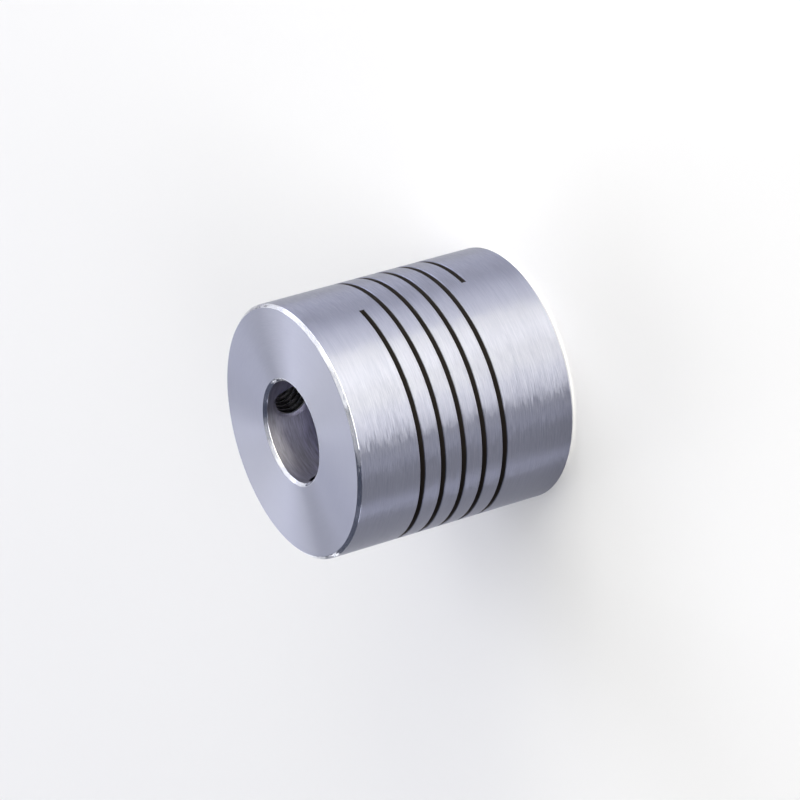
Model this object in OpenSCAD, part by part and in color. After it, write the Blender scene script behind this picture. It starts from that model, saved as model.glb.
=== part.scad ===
// Helical beam coupling, turned from one bar and made flexible by one helical cut
// It stands on its lower end, with the axis of both bores along +Z

/* [Body] */
// Outside diameter of the turned body
body_d = 25; // [22:0.5:32]
// Length of the body from end face to end face
body_l = 24; // [23:0.5:36]
// Width of the small bevel round each end of the body
rim_bevel = 0.33; // [0.1:0.01:0.8]

/* [Bores] */
// Diameter of the shaft bore in the upper hub
top_bore_d = 10; // [6:0.1:11]
// Diameter of the shaft bore in the lower hub
bottom_bore_d = 10; // [6:0.1:11]
// Width of the bevel at the mouth of each bore
bore_bevel = 0.3; // [0.1:0.01:0.8]
// How far the middle of the bore is cut back beyond the larger shaft bore
relief_depth = 0.5; // [0.2:0.05:1.2]
// How far the cut-back middle reaches into the hubs, past the helical cut
relief_margin = 0.15; // [0.05:0.05:0.4]

/* [Helical cut] */
// Turns of the cut, a right-hand helix with one start
cut_turns = 5; // [2:0.25:5]
// Rise of the cut in one turn
cut_pitch = 2.28; // [1.6:0.02:2.4]
// Width of the cut, measured along the axis
cut_w = 0.5; // [0.3:0.05:0.8]
// How far the middle of the cut lies above the middle of the body
cut_shift = -0.15; // [-0.4:0.05:0.4]
// Direction round the axis in which the lower end of the cut lies
cut_end_angle = -35; // [-180:5:180]
// Width of the broken edge on both sides of the cut
cut_edge = 0.06; // [0.02:0.01:0.12]

/* [Set screws] */
// Thread diameter of the set screws
screw_d = 4; // [3:0.5:5]
// Length of a set screw
screw_l = 4; // [3:0.25:5]
// Distance of a set screw's axis from the end face of its hub
screw_inset = 3; // [2.6:0.1:3.2]
// Direction round the axis of the first set screw in each hub
screw_angle = 60; // [-180:5:180]
// Angle between the two set screws of one hub
screw_spacing = 120; // [60:5:180]
// How far the outer end of a backed-out set screw lies inside the body's surface
screw_sink = 0.2; // [0:0.05:0.6]
// Size of the hexagon key, across its flats
key_size = 2; // [1.3:0.1:2.2]
// Depth of the hexagon socket
key_depth = 1.7; // [1:0.1:2]
// Diameter of the sharp rim of the cup point
cup_d = 2; // [1:0.1:2.2]
// Width of the bevel at the socket end of a set screw
screw_bevel = 0.3; // [0.1:0.05:0.4]
// Room between a set screw and its hole, all round
screw_clearance = 0.05; // [0.02:0.01:0.15]
// Width of the bevel at the outer mouth of a set-screw hole
hole_bevel = 0.15; // [0.05:0.01:0.3]

/* [Hidden] */

body_r = body_d / 2;
top_bore_r = top_bore_d / 2;
bottom_bore_r = bottom_bore_d / 2;
relief_r = max(top_bore_r, bottom_bore_r) + relief_depth;

cut_rise = cut_turns * cut_pitch;
cut_low = body_l / 2 + cut_shift - cut_rise / 2;
cut_high = cut_low + cut_rise;
// The relief reaches past the cut by the margin and half of the cut's own width
relief_low = cut_low - cut_w / 2 - relief_margin;
relief_high = cut_high + cut_w / 2 + relief_margin;

// The cut is swept in short steps, and passes through the wall from bore to outside
steps_per_turn = 48;
cut_steps = round(cut_turns * steps_per_turn);
cut_reach = 0.1;
cut_inner_r = min(top_bore_r, bottom_bore_r) / 2;
// Section of the cut as radius and height, with both outer edges broken at 45 degrees
cut_section = [
    [cut_inner_r, -cut_w / 2],
    [body_r - cut_edge, -cut_w / 2],
    [body_r + cut_reach, -cut_w / 2 - cut_edge - cut_reach],
    [body_r + cut_reach, cut_w / 2 + cut_edge + cut_reach],
    [body_r - cut_edge, cut_w / 2],
    [cut_inner_r, cut_w / 2]];

screw_r = screw_d / 2 - screw_clearance;
hole_r = screw_d / 2;
screw_outer = body_r - screw_sink;
screw_inner = screw_outer - screw_l;
cup_r = cup_d / 2;
// The hollow of the cup point is a cone that rises at this angle from its rim
cup_slope = 30;
cup_depth = cup_r * tan(cup_slope);
key_corners = key_size / cos(30);
overshoot = 1;

// Each set screw's node, with its height and its direction round the axis
SCREWS = [
    ["set_screw_top_a", body_l - screw_inset, screw_angle],
    ["set_screw_top_b", body_l - screw_inset, screw_angle + screw_spacing],
    ["set_screw_bottom_a", screw_inset, screw_angle],
    ["set_screw_bottom_b", screw_inset, screw_angle + screw_spacing]];

// One point of the cut: the section's corner p at the given step along the helix
function cut_point(step, p) =
    let (turn = step / steps_per_turn, a = cut_end_angle + 360 * turn)
    [p[0] * cos(a), p[0] * sin(a), cut_low + cut_pitch * turn + p[1]];

// The wall left once both bores and the relief are turned out, as a half section
module body_profile() {
    polygon([
        [bottom_bore_r + bore_bevel, 0],
        [body_r - rim_bevel, 0],
        [body_r, rim_bevel],
        [body_r, body_l - rim_bevel],
        [body_r - rim_bevel, body_l],
        [top_bore_r + bore_bevel, body_l],
        [top_bore_r, body_l - bore_bevel],
        [top_bore_r, relief_high + relief_r - top_bore_r],
        [relief_r, relief_high],
        [relief_r, relief_low],
        [bottom_bore_r, relief_low - relief_r + bottom_bore_r],
        [bottom_bore_r, bore_bevel]]);
}

// The space that the cutter leaves, one solid swept along the helix
module helical_cut() {
    n = len(cut_section);
    points = [for (s = [0 : cut_steps], p = cut_section) cut_point(s, p)];
    // A cap is a row of quads, each between two corners below the cut and their twins above
    cap = [for (k = [0 : n / 2 - 2]) [k, k + 1, n - 2 - k, n - 1 - k]];
    start_cap = [for (q = cap) [q[3], q[2], q[1], q[0]]];
    end_cap = [for (q = cap) [for (corner = q) corner + cut_steps * n]];
    sides = [for (s = [0 : cut_steps - 1], k = [0 : n - 1])
        let (a = s * n + k, b = s * n + (k + 1) % n)
        each [[a, b, a + n], [b, b + n, a + n]]];
    polyhedron(points = points, faces = concat(start_cap, end_cap, sides));
}

// Puts what is drawn along +Z onto a set screw's axis, pointing out from the bore
module on_screw_axis(height, angle) {
    translate([0, 0, height]) rotate([0, 90, angle]) children();
}

module screw_hole() {
    cylinder(r = hole_r, h = body_r + overshoot);
    translate([0, 0, body_r - hole_bevel])
        cylinder(r1 = hole_r, r2 = hole_r + hole_bevel + overshoot, h = hole_bevel + overshoot);
}

module coupling_body() {
    color("silver")
    difference() {
        rotate_extrude($fn = 144) body_profile();
        helical_cut();
        for (s = SCREWS) on_screw_axis(s[1], s[2]) screw_hole($fn = 48);
    }
}

// Cup-point set screw with a hexagon socket, its thread left plain at full diameter
module set_screw() {
    color("dimgray")
    difference() {
        translate([0, 0, screw_inner]) rotate_extrude($fn = 48)
            polygon([
                [0, cup_depth],
                [cup_r, 0],
                [screw_r, screw_r - cup_r],
                [screw_r, screw_l - screw_bevel],
                [screw_r - screw_bevel, screw_l],
                [0, screw_l]]);
        translate([0, 0, screw_outer - key_depth])
            cylinder(d = key_corners, h = key_depth + overshoot, $fn = 6);
    }
}

coupling_body();
for (s = SCREWS)
    on_screw_axis(s[1], s[2]) set_screw();
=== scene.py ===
import bpy
import math
from mathutils import Matrix
from mathutils import Vector


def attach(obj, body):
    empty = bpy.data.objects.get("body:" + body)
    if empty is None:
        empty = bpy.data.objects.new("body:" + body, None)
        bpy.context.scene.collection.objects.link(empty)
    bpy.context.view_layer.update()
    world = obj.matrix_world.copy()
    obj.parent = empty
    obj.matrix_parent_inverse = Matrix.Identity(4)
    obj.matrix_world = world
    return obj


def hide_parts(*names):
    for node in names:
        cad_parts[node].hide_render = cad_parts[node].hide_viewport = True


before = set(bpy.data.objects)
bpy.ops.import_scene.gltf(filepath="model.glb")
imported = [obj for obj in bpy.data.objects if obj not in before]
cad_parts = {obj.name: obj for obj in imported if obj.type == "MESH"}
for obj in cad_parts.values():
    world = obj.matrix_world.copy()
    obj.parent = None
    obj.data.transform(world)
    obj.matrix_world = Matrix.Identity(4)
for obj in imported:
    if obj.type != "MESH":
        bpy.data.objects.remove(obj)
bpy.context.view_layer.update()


# The coupling body is one bar of aluminium. It is turned to 25 mm with a small bevel on
# each rim, bored from both ends, and cut back a little in the middle of the bore, where
# the coils have to flex clear of the shafts. The tool leaves every edge just off sharp.
mm = 0.001
body_radius = 12.5 * mm
body_length = 24 * mm
bore_radius = 5 * mm
relief_radius = 5.5 * mm
relief_low = 5.75 * mm
relief_high = 17.95 * mm
rim_bevel = 0.33 * mm
bore_bevel = 0.3 * mm
edge_softness = 0.03 * mm
body_facets = 360


def keep_selected(piece):
    """Leaves this one object selected and active."""
    bpy.ops.object.select_all(action="DESELECT")
    piece.select_set(True)
    bpy.context.view_layer.objects.active = piece


def softened(outline, amount):
    """Rounds each corner of a closed outline, with a ring close by that keeps the flats flat."""
    soft = []
    for here, corner in enumerate(outline):
        corner = Vector(corner)
        before = (Vector(outline[here - 1]) - corner).normalized()
        after = (Vector(outline[(here + 1) % len(outline)]) - corner).normalized()
        for step in (2, 1):
            soft.append(corner + before * amount * step)
        soft.append(corner + (before + after) * amount * 0.25)
        for step in (1, 2):
            soft.append(corner + after * amount * step)
    return soft


def turned(name, outline, facets):
    """Turns a shape from an outline of radius and height, drawn outward from its first point."""
    bpy.ops.object.select_all(action="DESELECT")
    radius, height = outline[0]
    bpy.ops.mesh.primitive_circle_add(
        vertices=facets, radius=radius, location=(0, 0, height),
        rotation=(0, 0, math.pi / facets))
    piece = bpy.context.active_object
    piece.name = name
    bpy.ops.object.mode_set(mode="EDIT")
    bpy.ops.mesh.select_all(action="SELECT")
    for (old_radius, old_height), (radius, height) in zip(outline, outline[1:]):
        bpy.ops.mesh.extrude_region_move(
            TRANSFORM_OT_translate={"value": (0, 0, height - old_height)})
        grown = radius / old_radius
        bpy.ops.transform.resize(value=(grown, grown, 1), center_override=(0, 0, height))
    bpy.ops.mesh.select_all(action="SELECT")
    bpy.ops.mesh.remove_doubles(threshold=0.0005 * mm)
    bpy.ops.mesh.fill_holes(sides=0)
    bpy.ops.mesh.select_all(action="SELECT")
    bpy.ops.mesh.normals_make_consistent(inside=False)
    bpy.ops.object.mode_set(mode="OBJECT")
    bpy.ops.object.transform_apply(location=True, rotation=True, scale=True)
    return piece


def machined(piece, tool, operation="DIFFERENCE"):
    """Takes the tool's shape out of the piece, or keeps only what both share."""
    keep_selected(piece)
    cut = piece.modifiers.new("cut", "BOOLEAN")
    cut.operation = operation
    cut.solver = "EXACT"
    cut.object = tool
    bpy.ops.object.modifier_apply(modifier=cut.name)
    bpy.data.objects.remove(tool)


bar_outline = [
    (bore_radius + bore_bevel, 0),
    (body_radius - rim_bevel, 0),
    (body_radius, rim_bevel),
    (body_radius, body_length - rim_bevel),
    (body_radius - rim_bevel, body_length),
    (bore_radius + bore_bevel, body_length),
    (bore_radius, body_length - bore_bevel),
    (bore_radius, relief_high + relief_radius - bore_radius),
    (relief_radius, relief_high),
    (relief_radius, relief_low),
    (bore_radius, relief_low - relief_radius + bore_radius),
    (bore_radius, bore_bevel)]
soft_outline = softened(bar_outline, edge_softness)
body = turned("body_turned", soft_outline + soft_outline[:1], body_facets)


# The helical cut makes the bar flexible. A thin saw follows a right-hand helix for five
# turns, right through the wall, and its two edges are broken at 45 degrees. Both ends
# of the cut stay square, in line with the axis.
cut_turns = 5
cut_pitch = 2.28 * mm
cut_width = 0.5 * mm
cut_low = 6.15 * mm
cut_end_angle = math.radians(-35)
cut_edge = 0.06 * mm
cut_reach = 0.1 * mm
cut_inner_radius = 2.5 * mm
cut_steps_per_turn = 180


def drawn(name, points):
    """Draws a line through the points, from a plane merged to one corner and extruded."""
    bpy.ops.object.select_all(action="DESELECT")
    bpy.ops.mesh.primitive_plane_add(size=mm, location=points[0])
    piece = bpy.context.active_object
    piece.name = name
    bpy.ops.object.mode_set(mode="EDIT")
    bpy.ops.mesh.select_all(action="SELECT")
    bpy.ops.mesh.merge(type="CENTER")
    for here, there in zip(points, points[1:]):
        step = Vector(there) - Vector(here)
        bpy.ops.mesh.extrude_region_move(TRANSFORM_OT_translate={"value": step})
    bpy.ops.mesh.select_all(action="SELECT")
    bpy.ops.mesh.remove_doubles(threshold=0.0005 * mm)
    bpy.ops.object.mode_set(mode="OBJECT")
    bpy.ops.object.transform_apply(location=True, rotation=True, scale=True)
    return piece


def screwed(piece, turns, rise, steps, rounds=1):
    """Sweeps the drawn line up a right-hand helix about the axis."""
    keep_selected(piece)
    sweep = piece.modifiers.new("sweep", "SCREW")
    sweep.angle = 2 * math.pi * turns
    sweep.screw_offset = rise
    sweep.steps = steps
    sweep.render_steps = steps
    sweep.iterations = rounds
    sweep.use_merge_vertices = True
    sweep.merge_threshold = 0.0005 * mm
    bpy.ops.object.modifier_apply(modifier=sweep.name)


outer = body_radius + cut_reach
flare = cut_width / 2 + cut_edge + cut_reach
cut_section = [
    (cut_inner_radius, -cut_width / 2),
    (body_radius - cut_edge, -cut_width / 2),
    (outer, -flare),
    (outer, flare),
    (body_radius - cut_edge, cut_width / 2),
    (cut_inner_radius, cut_width / 2),
    (cut_inner_radius, -cut_width / 2)]
saw_path = drawn("saw_path", [
    (radius * math.cos(cut_end_angle), radius * math.sin(cut_end_angle), cut_low + height)
    for radius, height in cut_section])
screwed(saw_path, cut_turns, cut_turns * cut_pitch, cut_turns * cut_steps_per_turn)
bpy.ops.object.mode_set(mode="EDIT")
bpy.ops.mesh.select_all(action="SELECT")
bpy.ops.mesh.fill_holes(sides=6)
bpy.ops.mesh.select_all(action="SELECT")
bpy.ops.mesh.normals_make_consistent(inside=False)
bpy.ops.object.mode_set(mode="OBJECT")
machined(body, saw_path)


# Each hub has two holes tapped M4 for its set screws, 120 degrees apart, drilled from the
# outside through to the bore. A small bevel takes the burr off each outer mouth.
thread_pitch = 0.7 * mm
tap_radius = 2 * mm
tap_core_radius = 1.621 * mm
tap_low = 3.2 * mm
tap_high = 13.3 * mm
hole_bevel = 0.15 * mm
mouth_depth = 0.6 * mm
hub_inset = 3 * mm
hole_places = [
    ("top_a", body_length - hub_inset, math.radians(60)),
    ("top_b", body_length - hub_inset, math.radians(180)),
    ("bottom_a", hub_inset, math.radians(60)),
    ("bottom_b", hub_inset, math.radians(180))]


def threaded_rod(name, low, high, crest, core):
    """A rod along Z with an M4 thread on it, cut flat at both ends."""
    crest_flat = thread_pitch / 8
    core_flat = thread_pitch / 4
    flank = (thread_pitch - crest_flat - core_flat) / 2
    first = (math.floor(low / thread_pitch) - 1) * thread_pitch
    rounds = math.ceil((high - first) / thread_pitch) + 1
    piece = drawn(name, [
        (core, 0, first),
        (core, 0, first + core_flat),
        (crest, 0, first + core_flat + flank),
        (crest, 0, first + core_flat + flank + crest_flat),
        (core, 0, first + thread_pitch)])
    screwed(piece, 1, thread_pitch, 48, rounds)
    bpy.ops.object.mode_set(mode="EDIT")
    bpy.ops.mesh.select_all(action="SELECT")
    bpy.ops.mesh.remove_doubles(threshold=0.0005 * mm)
    for height, facing in ((low, -1), (high, 1)):
        bpy.ops.mesh.select_all(action="SELECT")
        bpy.ops.mesh.bisect(
            plane_co=(0, 0, height), plane_no=(0, 0, facing), clear_outer=True)
    bpy.ops.mesh.select_all(action="SELECT")
    bpy.ops.mesh.fill_holes(sides=0)
    bpy.ops.mesh.select_all(action="SELECT")
    bpy.ops.mesh.normals_make_consistent(inside=False)
    bpy.ops.object.mode_set(mode="OBJECT")
    return piece


def put_on_hole(piece, height, angle):
    """Turns what stands along Z onto a hole's axis, pointing out from the bore."""
    keep_selected(piece)
    piece.rotation_euler = (0, math.pi / 2, angle)
    piece.location = (0, 0, height)
    bpy.ops.object.transform_apply(location=True, rotation=True, scale=True)


for name, height, angle in hole_places:
    tap = threaded_rod("tap_" + name, tap_low, tap_high, tap_radius, tap_core_radius)
    put_on_hole(tap, height, angle)
    machined(body, tap)
    mouth_radius = tap_radius + hole_bevel
    mouth = turned("mouth_" + name, [
        (mouth_radius - mouth_depth, body_radius - mouth_depth),
        (mouth_radius + mm, body_radius + mm)], 96)
    put_on_hole(mouth, height, angle)
    machined(body, mouth)

keep_selected(body)
bpy.ops.object.shade_smooth_by_angle(angle=math.radians(28))


# The turned finish: fine rings left by the tool at three spacings, faintly broken along their
# length, so that the metal is smooth round the axis and rough along it. The faces are cut at
# a finer feed, so their rings show less. The bevels are a little smoother, and their colour
# is painted much lighter as a painted highlight.
aluminium_dark = (0.232, 0.24, 0.304)
aluminium_light = (0.31, 0.318, 0.394)
bevel_painted_highlight = (0.58, 0.585, 0.64)
rings_lost_on_faces = 0.7
ring_lean = 0.36
ring_depth = 0.006 * mm
polish_of_bevels = 0.13
mask_margin = 0.01 * mm


def calculated(tree, operation, *values):
    """One step of arithmetic on values or on numbers."""
    node = tree.nodes.new("ShaderNodeMath")
    node.operation = operation
    for socket, value in zip(node.inputs, values):
        if isinstance(value, (int, float)):
            socket.default_value = value
        else:
            tree.links.new(value, socket)
    return node.outputs[0]


def vector_step(tree, operation, first, second=None):
    """One step on directions or colours, of which the first may be a plain triple."""
    node = tree.nodes.new("ShaderNodeVectorMath")
    node.operation = operation
    if isinstance(first, tuple):
        node.inputs[0].default_value = first
    else:
        tree.links.new(first, node.inputs[0])
    if operation == "SCALE":
        tree.links.new(second, node.inputs["Scale"])
    elif second is not None:
        tree.links.new(second, node.inputs[1])
    return node.outputs["Value" if operation == "LENGTH" else "Vector"]


def measured(tree):
    """Where a spot lies: its coordinates, and its way out from the axis."""
    place = tree.nodes.new("ShaderNodeTexCoord")
    apart = tree.nodes.new("ShaderNodeSeparateXYZ")
    tree.links.new(place.outputs["Object"], apart.inputs[0])
    outward = tree.nodes.new("ShaderNodeCombineXYZ")
    tree.links.new(apart.outputs["X"], outward.inputs["X"])
    tree.links.new(apart.outputs["Y"], outward.inputs["Y"])
    return apart.outputs, outward.outputs[0]


def away_from_middle(tree, height):
    """How far a spot lies above or below the middle of the body."""
    return calculated(tree, "ABSOLUTE", calculated(tree, "SUBTRACT", height, body_length / 2))


def ranged(tree, value, low, high, new_low, new_high):
    """Maps one range of a value onto another, and holds it within that."""
    node = tree.nodes.new("ShaderNodeMapRange")
    tree.links.new(value, node.inputs["Value"])
    node.inputs["From Min"].default_value = low
    node.inputs["From Max"].default_value = high
    for socket, limit in ((node.inputs["To Min"], new_low), (node.inputs["To Max"], new_high)):
        if isinstance(limit, (int, float)):
            socket.default_value = limit
        else:
            tree.links.new(limit, socket)
    return node.outputs["Result"]


def mixed(tree, factor, first, second):
    """Goes from one colour to another, each of them fixed or changing over the surface."""
    node = tree.nodes.new("ShaderNodeMix")
    node.data_type = "RGBA"
    tree.links.new(factor, node.inputs["Factor"])
    for socket, colour in ((node.inputs["A"], first), (node.inputs["B"], second)):
        if isinstance(colour, tuple):
            socket.default_value = (*colour, 1)
        else:
            tree.links.new(colour, socket)
    return node.outputs["Result"]


def new_group(name, inputs, outputs):
    """An empty node group with named sockets, and its two ends."""
    group = bpy.data.node_groups.new(name, "ShaderNodeTree")
    for side, sockets in (("INPUT", inputs), ("OUTPUT", outputs)):
        for socket, kind in sockets:
            group.interface.new_socket(name=socket, in_out=side, socket_type="NodeSocket" + kind)
    return group, group.nodes.new("NodeGroupInput").outputs, group.nodes.new("NodeGroupOutput").inputs


def rings_group():
    """The tool's rings, on the sides and on the faces alike."""
    group, given, result = new_group(
        "tool_rings",
        (("Spacing", "Float"), ("Length", "Float"), ("Detail", "Float")),
        (("Rings", "Float"),))
    place, outward = measured(group)
    radius = vector_step(group, "LENGTH", outward)
    # Along the sides the height changes, across the faces the radius, on a bevel both
    along = calculated(group, "MULTIPLY_ADD", radius, 1.37, place["Z"])
    spot = group.nodes.new("ShaderNodeCombineXYZ")
    for axis, way, step in (
            ("X", place["X"], "Length"), ("Y", place["Y"], "Length"), ("Z", along, "Spacing")):
        in_mm = calculated(group, "MULTIPLY", way, 1000)
        group.links.new(calculated(group, "DIVIDE", in_mm, given[step]), spot.inputs[axis])
    noise = group.nodes.new("ShaderNodeTexNoise")
    noise.inputs["Scale"].default_value = 1.0
    noise.inputs["Roughness"].default_value = 0.6
    group.links.new(given["Detail"], noise.inputs["Detail"])
    group.links.new(spot.outputs[0], noise.inputs["Vector"])
    group.links.new(noise.outputs["Fac"], result["Rings"])
    return group


tool_rings = rings_group()


def rings(tree, spacing, length, detail):
    """One set of tool rings in a material, with its own spacing and length in mm."""
    node = tree.nodes.new("ShaderNodeGroup")
    node.node_tree = tool_rings
    node.inputs["Spacing"].default_value = spacing
    node.inputs["Length"].default_value = length
    node.inputs["Detail"].default_value = detail
    return node.outputs["Rings"]


def new_metal(name, metallic=1.0):
    """A bare metal's material, with its node tree and its shader."""
    material = bpy.data.materials.new(name)
    material.use_nodes = True
    shader = material.node_tree.nodes["Principled BSDF"]
    shader.inputs["Metallic"].default_value = metallic
    return material, material.node_tree, shader


def grained_round(tree, shader, amount):
    """Gives the metal a grain that runs round the axis, as the tool did."""
    shader.inputs["Anisotropic"].default_value = amount
    shader.inputs["Anisotropic Rotation"].default_value = 0.25
    around = tree.nodes.new("ShaderNodeTangent")
    around.direction_type = "RADIAL"
    around.axis = "Z"
    tree.links.new(around.outputs["Tangent"], shader.inputs["Tangent"])


def roughened(tree, shader, height, depth, strength=1.0):
    """Raises and sinks the surface with a value, and hands back the node that does it."""
    bump = tree.nodes.new("ShaderNodeBump")
    bump.inputs["Strength"].default_value = strength
    bump.inputs["Distance"].default_value = depth
    tree.links.new(height, bump.inputs["Height"])
    tree.links.new(bump.outputs["Normal"], shader.inputs["Normal"])
    return bump


aluminium, tree, metal = new_metal("turned_aluminium")
grained_round(tree, metal, 1.0)
fine = rings(tree, 0.11, 3.5, 3.0)
short = rings(tree, 0.075, 1.1, 2.0)
broad = rings(tree, 0.7, 9.0, 3.0)

place, outward = measured(tree)
radius = vector_step(tree, "LENGTH", outward)
from_middle = away_from_middle(tree, place["Z"])
near_end = calculated(
    tree, "GREATER_THAN", from_middle, body_length / 2 - rim_bevel - mask_margin)
on_rim = calculated(tree, "GREATER_THAN", radius, body_radius - rim_bevel - mask_margin)
on_mouth = calculated(tree, "LESS_THAN", radius, bore_radius + bore_bevel + mask_margin)
on_bevel = calculated(tree, "MULTIPLY", near_end, calculated(tree, "ADD", on_rim, on_mouth))
on_face = calculated(tree, "GREATER_THAN", from_middle, body_length / 2 - mask_margin)
calm = calculated(
    tree, "SUBTRACT", 1.0, calculated(tree, "MULTIPLY", on_face, rings_lost_on_faces))

# The three sets of rings add up to 0.9 on average, and stray about 0.32 either way
weighted = [calculated(tree, "MULTIPLY", one_set, weight)
            for one_set, weight in ((fine, 0.8), (short, 0.7), (broad, 0.3))]
all_rings = calculated(tree, "ADD", weighted[0], calculated(tree, "ADD", weighted[1], weighted[2]))
streaks = calculated(tree, "MULTIPLY", calculated(tree, "SUBTRACT", all_rings, 0.9), calm)
tone = mixed(tree, ranged(tree, streaks, -0.32, 0.32, 0.0, 1.0), aluminium_dark, aluminium_light)
# Painted highlight: the rim and mouth bevels take a much lighter metal colour
tree.links.new(mixed(tree, on_bevel, tone, bevel_painted_highlight), metal.inputs["Base Color"])
uneven = ranged(tree, fine, 0.3, 0.7, 0.32, 0.36)
smoother = calculated(tree, "MULTIPLY", on_bevel, polish_of_bevels)
tree.links.new(calculated(tree, "SUBTRACT", uneven, smoother), metal.inputs["Roughness"])
bump = roughened(tree, metal, fine, ring_depth)

# Each ring leans a little to one side or the other, which breaks the edge of a reflection
# into fine streaks
facing = tree.nodes.new("ShaderNodeNewGeometry")
sideways = vector_step(tree, "NORMALIZE", vector_step(tree, "CROSS_PRODUCT", (0, 0, 1), outward))
uneven_lean = calculated(tree, "MULTIPLY", calculated(tree, "SUBTRACT", short, 0.5), ring_lean)
lean = vector_step(tree, "SCALE", sideways, calculated(tree, "MULTIPLY", uneven_lean, calm))
leaning = vector_step(tree, "ADD", facing.outputs["Normal"], lean)
tree.links.new(vector_step(tree, "NORMALIZE", leaning), bump.inputs["Normal"])

# The bore and the walls of the cut are rougher than the outside, with chatter marks. The bore's
# colour is painted darker at its mouths and lighter further in, as painted shade and painted
# light, and the walls of the narrow cut are painted near black as painted shade.
bore_dark = (0.2, 0.195, 0.24)
bore_light = (0.375, 0.367, 0.45)
# Painted shade: the walls of the narrow cut take a near-black colour
cut_painted_shade = (0.115, 0.1, 0.088)
chatter_depth = 0.012 * mm
bored, tree, metal = new_metal("bored_aluminium")
grained_round(tree, metal, 0.4)
marks = rings(tree, 0.16, 1.6, 4.0)
place, outward = measured(tree)
radius = vector_step(tree, "LENGTH", outward)
streak = mixed(tree, ranged(tree, marks, 0.3, 0.7, 0.0, 1.0), bore_dark, bore_light)
from_end = calculated(tree, "SUBTRACT", body_length / 2, away_from_middle(tree, place["Z"]))
# Painted light and shade: the bore's colour runs from 0.6 times at the mouths to 2.3 times 4.2 mm in
bore_painted_depth_light = vector_step(
    tree, "SCALE", streak, ranged(tree, from_end, 0.3 * mm, 4.2 * mm, 0.6, 2.3))
in_the_cut = ranged(tree, radius, relief_radius, relief_radius + 0.3 * mm, 0.0, 1.0)
tree.links.new(mixed(tree, in_the_cut, bore_painted_depth_light, cut_painted_shade), metal.inputs["Base Color"])
tree.links.new(ranged(tree, marks, 0.3, 0.7, 0.5, 0.62), metal.inputs["Roughness"])
roughened(tree, metal, marks, chatter_depth)


# The flanks of the tapped threads are painted near black as painted shade, and their crests
# are painted near white as a painted highlight
def mottle_group():
    """Uneven spots, with a colour and a roughness that follow them."""
    group, given, result = new_group(
        "mottle",
        (("Scale", "Float"), ("Detail", "Float"), ("Dark", "Color"), ("Light", "Color"),
         ("Smoothest", "Float"), ("Roughest", "Float")),
        (("Spots", "Float"), ("Colour", "Color"), ("Roughness", "Float")))
    place = group.nodes.new("ShaderNodeTexCoord")
    noise = group.nodes.new("ShaderNodeTexNoise")
    group.links.new(place.outputs["Object"], noise.inputs["Vector"])
    group.links.new(given["Scale"], noise.inputs["Scale"])
    group.links.new(given["Detail"], noise.inputs["Detail"])
    spots = noise.outputs["Fac"]
    colour = mixed(group, ranged(group, spots, 0.35, 0.65, 0.0, 1.0), given["Dark"], given["Light"])
    roughness = ranged(group, spots, 0.3, 0.7, given["Smoothest"], given["Roughest"])
    group.links.new(spots, result["Spots"])
    group.links.new(colour, result["Colour"])
    group.links.new(roughness, result["Roughness"])
    return group


mottle = mottle_group()


def mottled(tree, shader, scale, detail, dark, light, smoothest, roughest):
    """Lays the mottle on a metal, and hands back its spots."""
    node = tree.nodes.new("ShaderNodeGroup")
    node.node_tree = mottle
    node.inputs["Scale"].default_value = scale
    node.inputs["Detail"].default_value = detail
    node.inputs["Dark"].default_value = (*dark, 1)
    node.inputs["Light"].default_value = (*light, 1)
    node.inputs["Smoothest"].default_value = smoothest
    node.inputs["Roughest"].default_value = roughest
    tree.links.new(node.outputs["Colour"], shader.inputs["Base Color"])
    tree.links.new(node.outputs["Roughness"], shader.inputs["Roughness"])
    return node.outputs["Spots"]


# Painted shade: the thread flanks take a near-black metal colour
painted_flank_shade, tree, metal = new_metal("painted_shade_thread_flanks")
mottled(tree, metal, 1800, 3, (0.02, 0.019, 0.02), (0.045, 0.043, 0.046), 0.35, 0.5)
# Painted highlight: the thread crests take a near-white metal colour
painted_crest_highlight, tree, metal = new_metal("painted_highlight_thread_crests")
mottled(tree, metal, 2200, 3, (0.7, 0.69, 0.7), (0.95, 0.94, 0.95), 0.4, 0.55)

# All that lies inside the outer surface is bored. Round a tapped hole the bevel, which faces
# 45 degrees off the hole's axis, is turned, and the thread has its crests and its flanks.
cut_wall_start = body_radius - 1.2 * cut_edge
hole_reach = tap_radius + 2 * hole_bevel
crest_reach = tap_core_radius + 0.03 * mm
flank_reach = tap_radius + 0.004 * mm
flank_start = bore_radius + 0.35 * mm
surface_room = 0.02 * mm
turned_face, bored_face, crest_face, flank_face = range(4)

body.data.materials.clear()
for finish in (aluminium, bored, painted_crest_highlight, painted_flank_shade):
    body.data.materials.append(finish)
for face in body.data.polygons:
    out = math.hypot(face.center.x, face.center.y)
    off_middle = abs(face.center.z - body_length / 2)
    if out < cut_wall_start and off_middle < body_length / 2 - rim_bevel:
        face.material_index = bored_face
    else:
        face.material_index = turned_face
    for name, height, angle in hole_places:
        along = face.center.x * math.cos(angle) + face.center.y * math.sin(angle)
        across = face.center.y * math.cos(angle) - face.center.x * math.sin(angle)
        off_axis = math.hypot(across, face.center.z - height)
        facing_out = face.normal.x * math.cos(angle) + face.normal.y * math.sin(angle)
        if along < 0 or out < bore_radius + surface_room or off_axis > hole_reach:
            continue
        if out > body_radius - mm and 0.6 < facing_out < 0.8:
            face.material_index = turned_face
        elif off_axis < crest_reach:
            face.material_index = crest_face
        elif off_axis < flank_reach and flank_start < out < body_radius - surface_room:
            face.material_index = flank_face
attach(body, "root")
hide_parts("coupling_body")


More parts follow.
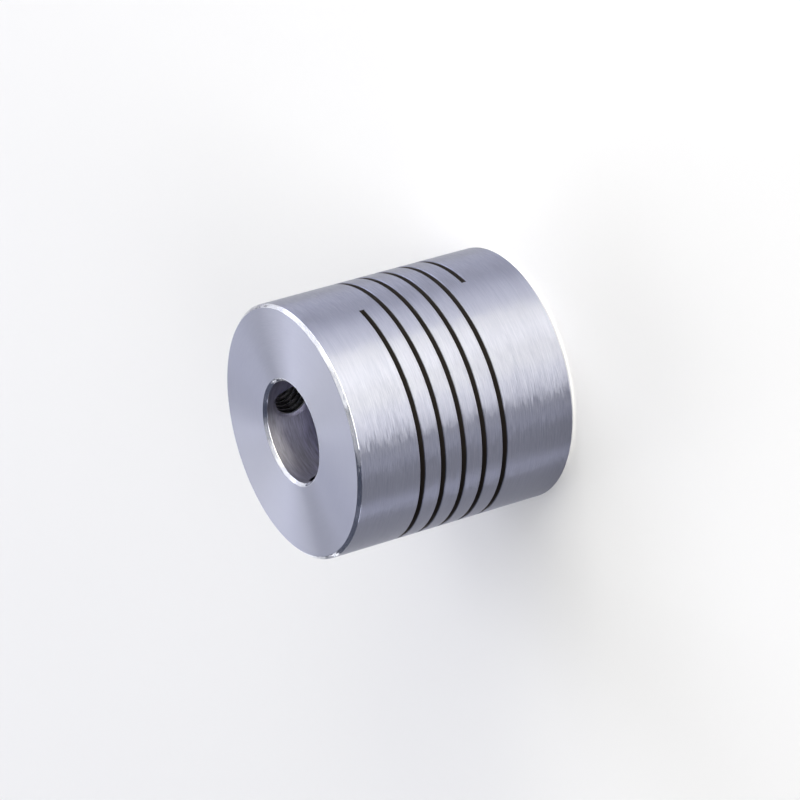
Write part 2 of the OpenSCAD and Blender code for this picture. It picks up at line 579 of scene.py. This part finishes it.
# Four M4 x 4 set screws of alloy steel with a black oxide finish, rolled thread, cup point
# and a 2 mm hexagon socket. They are sold backed out in their holes, just below the surface.
screw_crest = 1.95 * mm
screw_core = 1.571 * mm
screw_length = 4 * mm
screw_outer = 12.3 * mm
screw_inner = screw_outer - screw_length
screw_bevel = 0.3 * mm
socket_corners = 2 * mm / math.cos(math.radians(30))
socket_depth = 1.7 * mm
countersink_radius = 1.2 * mm
countersink_depth = 0.3 * mm
drill_radius = 0.8 * mm
drill_point = 0.42 * mm
drill_overlap = 0.02 * mm
cup_radius = mm
cup_depth = 0.577 * mm
# The cup's rim is worn from a knife edge to this width and height
rim_inside = 0.02 * mm
rim_outside = 0.04 * mm
rim_rise = 0.012 * mm
# Turned shapes start just off the axis, and tools reach past what they cut
centre_flat = 0.03 * mm
blank_room = 0.1 * mm
tool_reach = 0.2 * mm

oxide, tree, steel = new_metal("black_oxide_steel", 0.85)
spots = mottled(tree, steel, 2600, 4, (0.045, 0.045, 0.052), (0.085, 0.084, 0.09), 0.3, 0.48)
roughened(tree, steel, spots, 0.01 * mm, 0.3)

pattern = threaded_rod("set_screw_pattern", screw_inner - tool_reach, screw_outer + tool_reach,
                       screw_crest, screw_core)
point_slope = screw_inner + screw_crest - cup_radius - rim_outside
blank = turned("set_screw_blank", [
    (centre_flat, screw_inner + cup_depth),
    (cup_radius - rim_inside, screw_inner + rim_rise),
    (cup_radius + rim_outside, screw_inner),
    (screw_crest, point_slope),
    (screw_crest + blank_room, point_slope + blank_room),
    (screw_crest + blank_room, screw_outer - screw_bevel - blank_room),
    (screw_crest - screw_bevel, screw_outer),
    (centre_flat, screw_outer)], 96)
machined(pattern, blank, "INTERSECT")
bpy.ops.object.select_all(action="DESELECT")
bpy.ops.mesh.primitive_cylinder_add(
    vertices=6, radius=socket_corners / 2, depth=socket_depth + mm,
    location=(0, 0, screw_outer - socket_depth + (socket_depth + mm) / 2))
socket = bpy.context.active_object
bpy.ops.object.transform_apply(location=True, rotation=True, scale=True)
machined(pattern, socket)
countersink = turned("socket_mouth", [
    (countersink_radius - countersink_depth, screw_outer - countersink_depth),
    (countersink_radius + tool_reach, screw_outer + tool_reach)], 96)
machined(pattern, countersink)
socket_floor = turned("socket_floor", [
    (centre_flat, screw_outer - socket_depth - drill_point),
    (drill_radius, screw_outer - socket_depth + drill_overlap),
    (drill_radius, screw_outer - socket_depth + tool_reach)], 48)
machined(pattern, socket_floor)
keep_selected(pattern)
bpy.ops.object.shade_smooth_by_angle(angle=math.radians(30))
pattern.data.materials.clear()
pattern.data.materials.append(oxide)

for name, height, angle in hole_places:
    keep_selected(pattern)
    bpy.ops.object.duplicate()
    screw = bpy.context.active_object
    screw.name = "cup_screw_" + name
    put_on_hole(screw, height, angle)
    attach(screw, "root")
    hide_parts("set_screw_" + name)
bpy.data.objects.remove(pattern)


# The studio: a plain pale floor, soft boxes standing round it, and the photograph's view.
bpy.ops.object.select_all(action="DESELECT")
bpy.ops.mesh.primitive_plane_add(size=12, location=(0, 0, 0))
floor = bpy.context.active_object
floor.name = "floor"
paper = bpy.data.materials.new("pale_floor")
paper.use_nodes = True
matt = paper.node_tree.nodes["Principled BSDF"]
matt.inputs["Base Color"].default_value = (0.88, 0.875, 0.88, 1)
matt.inputs["Roughness"].default_value = 0.9
matt.inputs["Specular IOR Level"].default_value = 0.1
floor.data.materials.append(paper)


box_distance = 1.0


def soft_box(name, azimuths, elevations, glow, colour):
    """A flat soft box that fills these azimuths and elevations, seen from the coupling."""
    bpy.ops.object.select_all(action="DESELECT")
    turn = math.radians(sum(azimuths) / 2)
    lift = math.radians(sum(elevations) / 2)
    centre = Vector((0, 0, body_length / 2))
    away = Vector((math.cos(turn) * math.cos(lift), math.sin(turn) * math.cos(lift), math.sin(lift)))
    bpy.ops.object.light_add(
        type="AREA", location=centre + away * box_distance,
        rotation=away.to_track_quat("Z", "Y").to_euler())
    lamp = bpy.context.active_object
    lamp.name = name
    lamp.data.shape = "RECTANGLE"
    lamp.data.size = 2 * box_distance * math.tan(math.radians(azimuths[1] - azimuths[0]) / 2)
    lamp.data.size_y = 2 * box_distance * math.tan(math.radians(elevations[1] - elevations[0]) / 2)
    # The glow is what a white paper would show of it in the metal, whatever the box's size
    lamp.data.energy = glow * lamp.data.size * lamp.data.size_y * math.pi
    lamp.data.color = colour


# One long low key box curves round the front in seven flat panels, brightest in the middle,
# and the sides, the rear and the far side have lower ones, all of them mirrored along the
# body. The two lines and the arc give the fine bright edges, and the boxes overhead and the
# ceiling light the bevels and the end face.
white = (1.0, 1.0, 1.0)
warm = (1.0, 0.97, 0.79)
cool = (0.84, 0.86, 1.0)
low = (1, 12)
middle = (12, 27)
for name, azimuths, elevations, glow, colour in (
        ("key_1", (-111, -99), low, 8.2, warm),
        ("key_2", (-99, -84), low, 14.2, warm),
        ("key_3", (-84, -63), low, 26.8, warm),
        ("key_4", (-63, -46), low, 28.5, warm),
        ("key_5", (-46, -30), low, 22.8, warm),
        ("key_6", (-30, -16), low, 9.9, white),
        ("key_7", (-16, -2), low, 9.2, white),
        ("key_high_1", (-111, -84), middle, 8.5, white),
        ("key_high_2", (-62, -44), middle, 2.6, white),
        ("key_high_3", (-44, -12), middle, 4.2, warm),
        ("side_1", (-2, 7), low, 5.0, cool),
        ("side_2", (7, 25), low, 1.0, cool),
        ("side_3", (25, 46), low, 3.3, cool),
        ("side_high", (14, 42), middle, 3.7, cool),
        ("rear_1", (85, 95), low, 2.2, white),
        ("rear_2", (95, 105), low, 9.8, white),
        ("rear_3", (105, 117), low, 4.1, white),
        ("rear_high", (75, 105), middle, 1.7, white),
        ("far_1", (-230, -225), low, 2.7, white),
        ("far_2", (-176, -162), low, 5.0, cool),
        ("line_1", (-133, -126), low, 3.0, cool),
        ("line_2", (-126, -119), low, 3.8, white),
        ("arc", (44, 68), (7, 25), 1.5, white),
        ("over_1", (14, 44), (27, 48), 1.5, white),
        ("over_2", (-16, 14), (36, 58), 1.6, white),
        ("over_3", (-54, -16), (50, 68), 1.5, white),
        ("over_front", (-120, -70), (44, 62), 0.6, white),
        ("over_rear", (75, 105), (29, 55), 2.1, white),
        ("over_left", (105, 135), (29, 55), 0.8, cool),
        ("ceiling", (-12, 12), (78, 102), 0.9, white)):
    soft_box(name, azimuths, elevations, glow, colour)

world = bpy.data.worlds.new("room")
world.use_nodes = True
world.node_tree.nodes["Background"].inputs["Color"].default_value = (0.62, 0.7, 1.0, 1)
world.node_tree.nodes["Background"].inputs["Strength"].default_value = 0.13
bpy.context.scene.world = world

# The camera stands where the photograph's stood, and is rolled about its line of sight until
# the standing coupling lies in the picture as it does in the photograph
view_turn = math.radians(-82.426)
view_lift = math.radians(27.728)
view_roll = math.radians(-105.949)
look = (Matrix.Rotation(view_turn + math.radians(90), 3, "Z")
        @ Matrix.Rotation(math.radians(90) - view_lift, 3, "X")
        @ Matrix.Rotation(view_roll, 3, "Z"))
bpy.ops.object.select_all(action="DESELECT")
bpy.ops.object.camera_add(
    location=(47.878 * mm, -359.069 * mm, 202.221 * mm), rotation=look.to_euler())
camera = bpy.context.active_object
camera.data.lens = 191.88
camera.data.sensor_width = 36
camera.data.clip_start = 0.01
bpy.context.scene.camera = camera
bpy.context.scene.view_settings.view_transform = "Standard"
